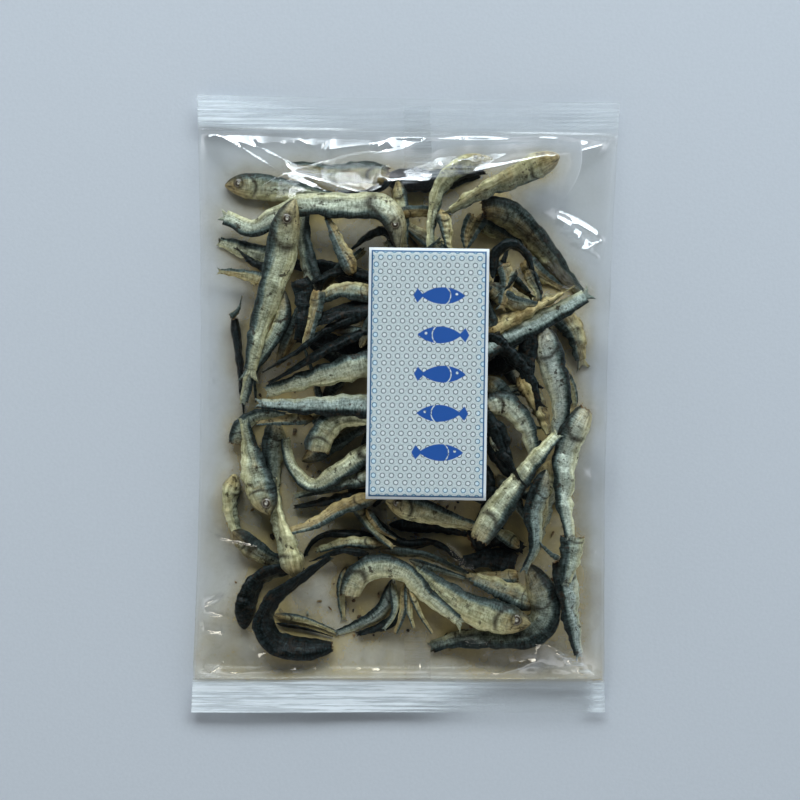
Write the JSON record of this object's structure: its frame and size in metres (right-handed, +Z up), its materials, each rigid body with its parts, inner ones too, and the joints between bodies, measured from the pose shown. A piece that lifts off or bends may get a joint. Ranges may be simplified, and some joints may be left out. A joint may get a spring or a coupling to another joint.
{
  "type": "bag of dried anchovies",
  "caption": "Clear heat-sealed pillow bag of small dried whole fish, lying flat, with crimped end seals and a tall paper label stuck on the front.",
  "frame": {"origin": "centre of the bag's size box, on the surface that it lies on", "axes": "+X to the bag's right, +Y towards its top seal, +Z up out of the labelled front"},
  "size_m": [0.1514, 0.218, 0.022],
  "materials": {
    "bag": "clear film over silver, grey-blue and yellow-brown dried fish",
    "label": "pale grey-blue paper with a white margin and a blue frame line"
  },
  "bodies": {
    "root": {"bag": "bag", "label": "label"}
  },
  "joints": []
}
